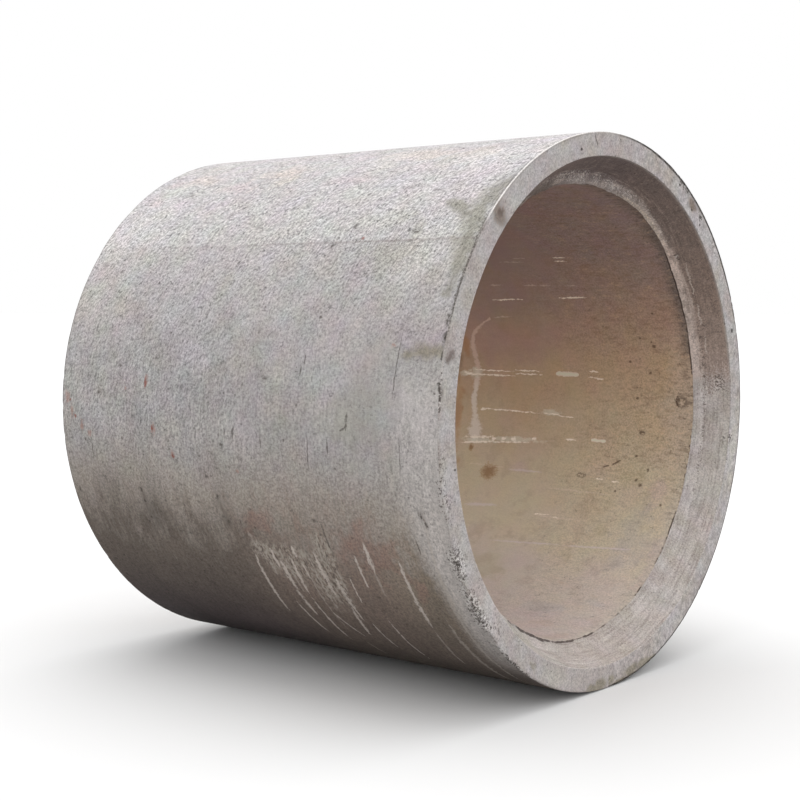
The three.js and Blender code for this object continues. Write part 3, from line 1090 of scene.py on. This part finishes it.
BORE_COLOURS = [
    (0, (158, 137, 134)), (40, (162, 141, 136)), (56, (169, 146, 136)), (70, (184, 156, 139)),
    (85, (197, 170, 142)), (100, (202, 181, 154)), (116, (208, 192, 167)),
    (131, (211, 197, 174)), (150, (209, 196, 185)), (172, (206, 192, 186)),
]
LIP_STAIN_AND_SHADE = [
    (0, (132, 118, 112)), (60, (112, 104, 98)), (74, (108, 103, 98)), (82, (182, 163, 146)),
    (130, (186, 180, 172)), (160, (184, 176, 162)),
]
# Lime streaks in the bore, and thin pale lines that are even along their length
LIME_STREAKS = [
    (0.77, -126.9, 0.87, -127.2, 0.005), (0.72, -127.5, 0.75, -127.5, 0.004),
    (1.26, -95.5, 1.3, -95.8, 0.009), (0.455, -114.7, 0.505, -114.6, 0.006),
    (0.55, -114.3, 0.59, -114.3, 0.0045), (1.09, -83.6, 1.36, -83.3, 0.004),
    (1.09, -84.9, 1.38, -84.8, 0.0055), (0.93, -83.3, 1.09, -83.1, 0.004),
    (0.93, -84.3, 1.1, -84.1, 0.004), (1.18, -103.9, 1.39, -104.6, 0.0085),
    (1.19, -105.2, 1.4, -106.4, 0.007), (0.98, -105.0, 1.2, -105.4, 0.005),
    (1.185, -104.4, 1.215, -104.5, 0.013), (1.125, -104.3, 1.155, -104.3, 0.012),
    (1.065, -104.1, 1.1, -104.2, 0.013), (1.01, -104.0, 1.035, -104.0, 0.011),
    (0.95, -103.7, 0.98, -103.8, 0.01), (0.57, -103.1, 0.65, -102.8, 0.008),
    (0.73, -103.3, 0.79, -103.2, 0.006), (0.75, -96.6, 0.84, -96.4, 0.004),
    (0.83, -95.9, 0.93, -95.8, 0.004), (0.93, -95.9, 1.31, -95.2, 0.005),
    (0.59, -84.9, 0.69, -84.4, 0.005), (0.61, -82.9, 0.68, -82.7, 0.004),
    (1.34, -84.6, 1.4, -84.5, 0.01), (0.61, -59.8, 0.78, -60.1, 0.006),
    (0.96, -60.4, 1.17, -60.6, 0.005), (0.64, -47.2, 0.72, -47.0, 0.004),
    (0.64, -45.8, 0.72, -45.7, 0.004),
]
FAINT_LIME = [
    (0.57, -151.4, 0.66, -151.0, 0.007), (0.47, -118.8, 0.88, -118.4, 0.007),
    (0.55, -127.8, 0.88, -127.4, 0.007), (1.1, -113.3, 1.33, -112.6, 0.006),
    (0.25, -114.6, 0.30, -114.5, 0.006), (1.06, -66.0, 1.17, -66.6, 0.006),
    (0.64, -56.0, 0.72, -55.8, 0.005), (0.78, -55.8, 0.95, -55.6, 0.005),
    (1.05, -55.4, 1.14, -55.5, 0.005), (0.87, -47.2, 1.02, -46.8, 0.005),
    (0.86, -45.6, 0.93, -45.6, 0.004),
]
PALE_LINES = [
    (0.24, -135.3, 0.66, -136.9, 0.008), (0.62, -136.6, 1.05, -138, 0.009),
    (1.06, -125.4, 1.28, -126.3, 0.013), (0.87, -113.7, 1.1, -113.6, 0.008),
]
# A run of lime that crosses them, as the places it passes: (behind, angle, half width)
LIME_RUN = [
    (1.316, -103.6, 0.06), (1.318, -101.6, 0.04), (1.324, -99.2, 0.028), (1.334, -95.7, 0.021),
    (1.342, -92.6, 0.018), (1.33, -89.2, 0.018), (1.316, -85.6, 0.022), (1.312, -82, 0.021),
    (1.32, -78.2, 0.018), (1.326, -75.2, 0.016), (1.316, -72.6, 0.013), (1.284, -70.2, 0.011),
    (1.24, -68.4, 0.009), (1.19, -66.7, 0.007),
]
# Thick bars of lime, grey-green inside their pale edges
LIME_BARS = [(0.73, -83.9, 0.86, -83.8, 0.013), (0.57, -103.1, 0.65, -102.8, 0.009)]
DARK_EDGE = [(1.43, -79, 0.04, 0.14)]
GREY_PATCH = [(0.2, -92, 0.12, 0.4)]
RUST_PATCHES = [(1.188, -115, 0.062, 0.05), (1.326, -107.6, 0.02, 0.022)]
PALE_PATCHES = [
    (0.885, -95.5, 0.06, 0.018), (1.325, -84.3, 0.055, 0.034), (1.39, -84.6, 0.04, 0.02),
    (1.06, -104.3, 0.17, 0.018), (1.28, -105.2, 0.13, 0.018),
]
ORANGE_PATCHES = [(1.435, -98, 0.05, 0.36), (1.37, -74, 0.03, 0.08)]
OLIVE_PATCHES = [
    (0.49, -130, 0.07, 0.07), (0.6, -140, 0.09, 0.05), (0.4, -114, 0.1, 0.07),
    (1.0, -148, 0.22, 0.22),
]
PINK_PATCHES = [(1.02, -112.6, 0.06, 0.035), (0.24, -115, 0.06, 0.12), (0.15, -141, 0.05, 0.3)]
BLUE_PATCHES = [(0.28, -158, 0.12, 0.04), (0.46, -163, 0.24, 0.06), (0.3, -132, 0.16, 0.22)]
BORE_PITS = [
    (0.378, -113.7, 0.013, 0.011), (0.352, -115.1, 0.016, 0.012), (0.328, -110.5, 0.01, 0.012),
    (0.226, -120.5, 0.01, 0.01), (0.212, -89.6, 0.009, 0.02), (0.32, -75, 0.017, 0.011),
    (0.33, -73.6, 0.008, 0.007), (0.35, -82.6, 0.011, 0.01), (0.42, -90, 0.011, 0.009),
    (0.4, -106.7, 0.01, 0.01), (0.386, -72.5, 0.008, 0.007), (0.3, -65, 0.009, 0.007),
    (0.45, -79.5, 0.012, 0.008), (0.47, -117.5, 0.01, 0.008),
]
BORE_CUTS = [
    (0.565, -110.6, 0.53, -109.9, 0.006), (0.522, -110, 0.475, -108.2, 0.007),
    (0.405, -100, 0.37, -99.7, 0.005), (0.21, -88.7, 0.226, -90.2, 0.006),
    (0.226, -90, 0.21, -92.3, 0.006),
]
BORE_RINGS = [
    (0.194, -90.6, 0.036, 0.032), (0.668, -113.6, 0.03, 0.014), (0.386, -99.9, 0.02, 0.012),
]


def bore_finish(name, *sector):
    finish = Finish("bore", "stained bore, " + name, BORE, sector)
    paint, stain = finish.paint, finish.stain
    behind, side = finish.behind, finish.side
    broad = finish.noise(0.35, 3)
    cloud = finish.noise(0.1, 3, roughness=0.6)
    grain = finish.noise(0.008, 3, roughness=0.65)
    drawn = finish.noise(0.02, stretch=(8, 1, 1))
    specks = finish.noise(0.016, roughness=0.6)
    sway = finish.swayed(0.06, 0.03, 1)
    cloudy, grainy, lined = cloud - 0.5, grain - 0.5, drawn - 0.5
    blotchy, ragged = cloudy * 3, grainy * 2.4

    # Dark purple-brown above, through rust and tan to pale below
    finish.colour = finish.by_side(BORE_COLOURS, sway=(broad - 0.5) * 26 + cloudy * 12)
    finish.tint(0.035, 0.13, 3)
    paint(cloud.rise(0.52, 0.66) * 0.2, (160, 132, 108))
    stain(OLIVE_PATCHES, sway, blotchy, (0.1, 0.9), 0.26, (182, 173, 132))
    stain(PINK_PATCHES, sway, blotchy, (0.1, 0.9), 0.45, (208, 184, 178))
    stain(BLUE_PATCHES, sway, blotchy, (0.1, 0.9), 0.28, (180, 180, 182))
    stain(ORANGE_PATCHES, sway, blotchy, (0.1, 0.9), 0.5, (184, 132, 90))
    stain(DARK_EDGE, sway, blotchy * 0.3, (0, 0.7), 0.4, (124, 108, 88))
    stain(GREY_PATCH, sway, blotchy * 0.6, (0, 0.9), 0.4, (206, 191, 176))
    # Near the lip, a stain that is darkest on the upper sides, partly painted shade
    near_lip = (behind + cloudy * 0.05 + grainy * 0.03).rise(SOCKET_DEPTH + 0.085, SOCKET_DEPTH)
    paint(near_lip * (0.8 - 0.4 * side.rise(72, 84)), finish.by_side(LIP_STAIN_AND_SHADE))
    rougher = (behind + (broad - 0.5) * 0.8).rise(1, 0.5)
    mottle = finish.noise(0.016, 3, stretch=(3, 1, 1), roughness=0.65)
    mottled = 0.05 + 0.26 * rougher * (1 - 0.7 * side.rise(104, 128))
    paint(mottle.rise(0.5, 0.34) * mottled, (134, 104, 80))
    paint(mottle.rise(0.54, 0.7) * mottled, (216, 184, 150))
    # Dark mottling near the lip, strongest above, partly painted shade
    lip_mottle = near_lip * mottle.rise(0.5, 0.38)
    paint(lip_mottle * (side.rise(124, 70) * 0.34 + 0.18), (96, 88, 82))
    contrast = 0.08 + 0.26 * rougher * (1 - 0.35 * side.rise(104, 128))
    tone = 1 + grain.swing(0.34, 0.66) * contrast + lined * 0.07
    pits = (specks + (mottle - 0.5) * 0.3).rise(0.34, 0.26) * rougher
    finish.tone(tone * (1 - 0.25 * pits))

    # Lime
    fine_sway = finish.swayed(0.02, 0.011)
    clumps = (finish.noise(0.011, 3, stretch=(1.8, 1, 1), roughness=0.65) - 0.5) * 3.6
    stain(FAINT_LIME, fine_sway, clumps, (0, 1.2), 0.5, (232, 214, 200))
    stain(PALE_LINES, fine_sway, clumps * 0.35, (0, 1), 0.54, (226, 213, 218))
    run = finish.trail(fine_sway, LIME_RUN) + blotchy * 0.6 + ragged * 0.7 + lined * 1.2
    run_colour = finish.mix(side.rise(82, 90), (226, 200, 186), (236, 224, 212))
    paint(run.rise(0, 0.75) * (0.74 + 0.08 * side.rise(78, 90)), run_colour)
    stain(PALE_PATCHES, fine_sway, blotchy * 0.3 + clumps * 0.5, (0, 0.5), 0.5, (232, 228, 212))
    stain(LIME_STREAKS, fine_sway, clumps, (0, 0.9), 0.95, (255, 243, 228))
    bars = finish.marks(LIME_BARS, fine_sway, blunt=14) + clumps * 0.3
    paint(bars.rise(0, 0.3) * 0.75, (244, 228, 210))
    paint(bars.rise(0.3, 0.6) * 0.8, (232, 228, 208))

    # Rust, pits and painted shade in the crack round the lip
    rust = finish.marks(RUST_PATCHES, fine_sway) + ragged * 0.55 + (blotchy + clumps) * 0.15
    paint(rust.rise(0, 0.3) * 0.5, (172, 134, 92))
    paint(rust.rise(0.22, 0.7) * 0.6, (142, 104, 68))
    stain(BORE_PITS + BORE_CUTS, fine_sway, ragged * 0.9, (0.1, 0.7), 0.75, (84, 62, 48))
    around_pit = finish.marks(BORE_RINGS, fine_sway) + ragged * 0.8
    paint(around_pit.within(0.05, 0.3, 0.5, 0.8) * 0.55, (84, 66, 56))
    paint(finish.attribute("crevice").rise(0.1, 0.9) * 0.85, (64, 52, 48))
    return finish.finished(0.8 + grainy * 0.25, grain * 0.0012)


def tongue_finish():
    finish = Finish("tongue", "worn tongue", TONGUE_SEAT)
    cloud = finish.noise(0.09, 4, roughness=0.6)
    grain = finish.noise(0.007, 3, roughness=0.65)
    turned = finish.noise(0.008, 3, stretch=(1, 14, 14))
    finish.colour = finish.mix(cloud.rise(0.4, 0.62), (186, 181, 177), (168, 161, 154))
    finish.tint(0.035, 0.14)
    finish.paint((finish.side + (cloud - 0.5) * 30).rise(112, 150) * 0.7, (128, 116, 107))
    pits = finish.noise(0.014, roughness=0.6).rise(0.34, 0.26)
    tone = 1 + grain.swing(0.3, 0.7) * 0.2 + (turned - 0.5) * 0.4
    finish.tone(tone * (1 - 0.3 * pits))
    finish.paint(finish.attribute("broken") * grain.rise(0.3, 0.6) * 0.6, (128, 119, 110))
    return finish.finished(0.88 + (grain - 0.5) * 0.25, (grain + turned) * 0.001)


finishes = [end_face_finish(), socket_finish(), tongue_finish()]
finishes += [barrel_finish(*sector) for sector in BARREL_SECTORS]
finishes += [bore_finish(*sector) for sector in BORE_SECTORS]
pipe = bpy.data.objects.new("concrete_pipe", pipe_mesh(finishes))
bpy.context.scene.collection.objects.link(pipe)
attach(pipe, "root")
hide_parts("pipe")


# ---------------------------------------------------------------------------------------------
# Stage

FOCAL_LENGTH = 68.5  # in millimetres, on a sensor 36 mm wide
PAST_SOCKET, TO_SIDE, ABOVE_AXIS = 2.897, 4.68, 0.388  # the camera's place, in outer radii
LOOKING = (-0.63718, 0.76819, -0.06236)
FLOOR_HALF = 200
LAMP_SPREAD = 60  # degrees
# What the camera sees of the floor and the sky, and how brightly they light the pipe
FLOOR_SEEN, FLOOR_BOUNCED = 0.8, 0.3
SKY_SEEN, SKY_BOUNCED = 1.0, 1.1
# (name, energy, direction from the pipe towards the lamp)
LAMPS = [("overhead light", 0.85, (-0.14, 0.14, 1)), ("front light", 0.45, (0.8, -0.45, 0.4))]


def camera():
    """Stands 1.5 m above the floor, 5 m to the side of the pipe and 3.1 m past its socket end."""
    lens = bpy.data.cameras.new("camera")
    lens.lens = FOCAL_LENGTH
    lens.sensor_width = 36
    place = np.array([PAST_SOCKET, -TO_SIDE, ABOVE_AXIS]) * BARREL
    eye = Vector((SOCKET_FACE, 0, AXIS_HEIGHT)) + Vector(place)
    ahead = Vector(LOOKING).normalized()
    right = ahead.cross(Vector((0, 0, 1))).normalized()
    up = right.cross(ahead)
    stand = bpy.data.objects.new("camera", lens)
    stand.matrix_world = Matrix.Translation(eye) @ Matrix((right, up, -ahead)).transposed().to_4x4()
    bpy.context.scene.collection.objects.link(stand)
    bpy.context.scene.camera = stand


def by_camera(nodes, links, seen, bounced):
    """A number that differs for what the camera and reflections see and for light that bounces."""
    path = nodes.new("ShaderNodeLightPath")
    seen_by = path.outputs["Is Camera Ray"]
    for ray in ("Is Glossy Ray", "Is Transmission Ray"):
        either = nodes.new("ShaderNodeMath")
        either.operation = "MAXIMUM"
        links.new(seen_by, either.inputs[0])
        links.new(path.outputs[ray], either.inputs[1])
        seen_by = either.outputs[0]
    pick = nodes.new("ShaderNodeMix")
    pick.inputs[2].default_value = bounced
    pick.inputs[3].default_value = seen
    links.new(seen_by, pick.inputs[0])
    return pick.outputs[0]


def floor():
    sides = ((-1, -1), (1, -1), (1, 1), (-1, 1))
    corners = [(FLOOR_HALF * x, FLOOR_HALF * y, 0) for x, y in sides]
    mesh = bpy.data.meshes.new("floor")
    mesh.from_pydata(corners, [], [(0, 1, 2, 3)])
    ground = bpy.data.objects.new("floor", mesh)
    bpy.context.scene.collection.objects.link(ground)
    material = bpy.data.materials.new("floor")
    material.use_nodes = True
    nodes, links = material.node_tree.nodes, material.node_tree.links
    shader = nodes["Principled BSDF"]
    links.new(by_camera(nodes, links, FLOOR_SEEN, FLOOR_BOUNCED), shader.inputs["Base Color"])
    shader.inputs["Roughness"].default_value = 1
    shader.inputs["Specular IOR Level"].default_value = 0
    mesh.materials.append(material)


def world():
    sky = bpy.data.worlds.new("studio")
    bpy.context.scene.world = sky
    sky.use_nodes = True
    nodes, links = sky.node_tree.nodes, sky.node_tree.links
    back = nodes["Background"]
    back.inputs["Color"].default_value = (1, 1, 1, 1)
    links.new(by_camera(nodes, links, SKY_SEEN, SKY_BOUNCED), back.inputs["Strength"])


def soft_light(name, energy, towards):
    """A wide soft lamp, given the direction from the pipe towards it."""
    lamp = bpy.data.lights.new(name, "SUN")
    lamp.angle = math.radians(LAMP_SPREAD)
    lamp.energy = energy
    stand = bpy.data.objects.new(name, lamp)
    stand.rotation_euler = Vector(towards).to_track_quat("Z", "Y").to_euler()
    bpy.context.scene.collection.objects.link(stand)


camera()
floor()
world()
for lamp in LAMPS:
    soft_light(*lamp)
bpy.context.scene.view_settings.view_transform = "Standard"
